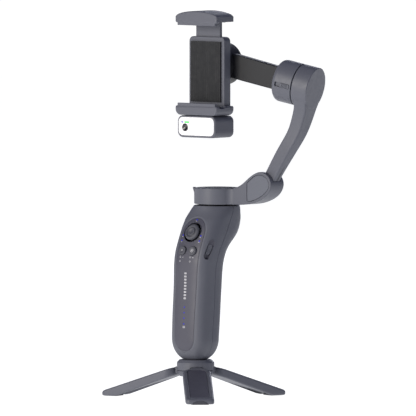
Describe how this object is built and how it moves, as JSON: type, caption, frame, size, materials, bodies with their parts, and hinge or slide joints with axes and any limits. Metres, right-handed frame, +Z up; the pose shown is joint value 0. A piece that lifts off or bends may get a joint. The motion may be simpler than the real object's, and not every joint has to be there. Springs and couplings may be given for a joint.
{
  "type": "gimbal stabilizer",
  "caption": "Hand-held phone gimbal with a leaning folding arm, side tilt drum, spring clamp, clip-on tracking module, control grip and folding mini tripod.",
  "frame": {"origin": "middle of the footprint's box, on the floor", "axes": "+X to the user's right along the phone's long side, +Y away from the user, +Z up"},
  "size_m": [0.1844, 0.148, 0.3216],
  "materials": {
    "shell_plastic": "fine moulded satin, slate grey",
    "panel_plastic": "smooth satin, lighter slate grey",
    "cover_plastic": "smooth satin, slate grey",
    "dark_plastic": "satin, near black",
    "grip_rubber": "matt rubber",
    "plain_steel": "turned",
    "nickel_magnet": "nickel plated",
    "stator_iron": "varnished windings on laminations",
    "insert_brass": "turned",
    "cell_sleeve": "shrunk sleeve",
    "board_green": "solder mask",
    "white_plastic": "gloss white",
    "lens_black": "polished",
    "light_blue": "clear light window"
  },
  "bodies": {
    "tripod": {"tripod_hub": "shell_plastic", "tripod_base": "shell_plastic", "leg_pins": "plain_steel", "tripod_screw": "plain_steel"},
    "leg_front": {"leg_front": "shell_plastic", "leg_inlay_front": "cover_plastic", "foot_pad_front": "grip_rubber"},
    "leg_rear": {"leg_rear": "shell_plastic", "leg_inlay_rear": "cover_plastic", "foot_pad_rear": "grip_rubber"},
    "leg_left": {"leg_left": "shell_plastic", "leg_inlay_left": "cover_plastic", "foot_pad_left": "grip_rubber"},
    "handle": {"handle_front_shell": "shell_plastic", "handle_back_shell": "shell_plastic", "control_panel": "panel_plastic", "status_lights": "light_blue", "thread_insert": "insert_brass", "battery_cell": "cell_sleeve", "main_board": "board_green", "usb_port": "plain_steel", "joystick_base": "dark_plastic", "zoom_bezel": "dark_plastic", "pan_motor_base": "dark_plastic", "pan_stator": "stator_iron", "pan_bearing": "plain_steel"},
    "stick_ring": {"joystick_ring": "dark_plastic"},
    "stick_cap": {"joystick_cap": "dark_plastic"},
    "mode_button": {"mode_button": "dark_plastic"},
    "record_button": {"record_button": "dark_plastic"},
    "zoom_slider": {"zoom_slider": "dark_plastic"},
    "pan": {"pan_arm": "shell_plastic", "pan_cap": "dark_plastic", "hinge_cover": "cover_plastic", "fold_pin": "plain_steel", "pan_shaft": "plain_steel", "pan_magnets": "nickel_magnet"},
    "arm": {"fold_arm": "shell_plastic", "tilt_stator": "stator_iron", "tilt_bearing": "plain_steel"},
    "tilt": {"tilt_housing": "shell_plastic", "tilt_arm": "dark_plastic", "tilt_shaft": "plain_steel", "tilt_magnets": "nickel_magnet", "roll_stator": "stator_iron", "roll_bearing": "plain_steel"},
    "tilt_lock": {"tilt_lock_slider": "dark_plastic"},
    "clamp": {"clamp_body": "shell_plastic", "lower_jaw_pad": "grip_rubber", "back_pad": "grip_rubber", "roll_shaft": "plain_steel", "roll_magnets": "nickel_magnet", "clamp_springs": "plain_steel"},
    "jaw": {"upper_jaw": "shell_plastic", "upper_jaw_pad": "grip_rubber"},
    "tracker": {"tracker_body": "shell_plastic", "tracker_face": "white_plastic", "tracker_lens": "lens_black", "tracker_lights": "light_blue", "tracker_magnet": "nickel_magnet"}
  },
  "joints": [
    {"name": "tripod_spin", "type": "hinge", "parent": "tripod", "child": "handle", "pos_m": [-0.00983, -0.00727, 0.03245], "axis": [0, 0, 1], "continuous": true},
    {"name": "leg_front_hinge", "type": "hinge", "parent": "tripod", "child": "leg_front", "pos_m": [-0.00203, -0.01572, 0.0234], "axis": [0.7349, 0.6782, 0], "range_deg": [0, 70]},
    {"name": "leg_rear_hinge", "type": "hinge", "parent": "tripod", "child": "leg_rear", "pos_m": [-0.00641, 0.00371, 0.0234], "axis": [-0.9548, 0.2974, 0], "range_deg": [0, 70]},
    {"name": "leg_left_hinge", "type": "hinge", "parent": "tripod", "child": "leg_left", "pos_m": [-0.02105, -0.0098, 0.0234], "axis": [0.2198, -0.9755, 0], "range_deg": [0, 70]},
    {"name": "stick_pitch", "type": "hinge", "parent": "handle", "child": "stick_ring", "pos_m": [-0.00983, -0.00647, 0.13498], "axis": [1, 0, 0], "range_deg": [-12, 12], "stiffness_Nm_per_rad": 0.02},
    {"name": "stick_yaw", "type": "hinge", "parent": "stick_ring", "child": "stick_cap", "pos_m": [-0.00983, -0.00647, 0.13498], "axis": [0, 0.405, 0.9143], "range_deg": [-12, 12], "stiffness_Nm_per_rad": 0.02},
    {"name": "mode_press", "type": "slide", "parent": "handle", "child": "mode_button", "axis": [0, 0.95, -0.3122], "range_m": [0, 0.0008], "stiffness_N_per_m": 1500, "springref_m": -0.0004},
    {"name": "record_press", "type": "slide", "parent": "handle", "child": "record_button", "axis": [0, 0.95, -0.3122], "range_m": [0, 0.0008], "stiffness_N_per_m": 1500, "springref_m": -0.0004},
    {"name": "zoom_slide", "type": "slide", "parent": "handle", "child": "zoom_slider", "axis": [0.1907, 0.3946, 0.8989], "range_m": [-0.0035, 0.0035], "stiffness_N_per_m": 300},
    {"name": "pan_turn", "type": "hinge", "parent": "handle", "child": "pan", "pos_m": [-0.00983, 0.02033, 0.167], "axis": [0, 0, 1], "range_deg": [-160, 160]},
    {"name": "arm_fold", "type": "hinge", "parent": "pan", "child": "arm", "pos_m": [0.04047, 0.02363, 0.1765], "axis": [0, -1, 0], "range_deg": [0, 34]},
    {"name": "tilt_turn", "type": "hinge", "parent": "arm", "child": "tilt", "pos_m": [0.07277, 0.02873, 0.2617], "axis": [0.9482, 0.2387, -0.2095], "range_deg": [-40, 40]},
    {"name": "lock_slide", "type": "slide", "parent": "tilt", "child": "tilt_lock", "axis": [-0.9482, -0.2387, 0.2095], "range_m": [0, 0.0045]},
    {"name": "roll_turn", "type": "hinge", "parent": "tilt", "child": "clamp", "pos_m": [-0.00983, 0.02273, 0.277], "axis": [0, -1, 0], "range_deg": [-50, 50]},
    {"name": "jaw_slide", "type": "slide", "parent": "clamp", "child": "jaw", "axis": [0, 0, 1], "range_m": [-0.011, 0.018], "deforming": ["clamp_springs"]},
    {"name": "tracker_pull", "type": "slide", "parent": "clamp", "child": "tracker", "axis": [0, 0, -1], "range_m": [0, 0.015]}
  ]
}
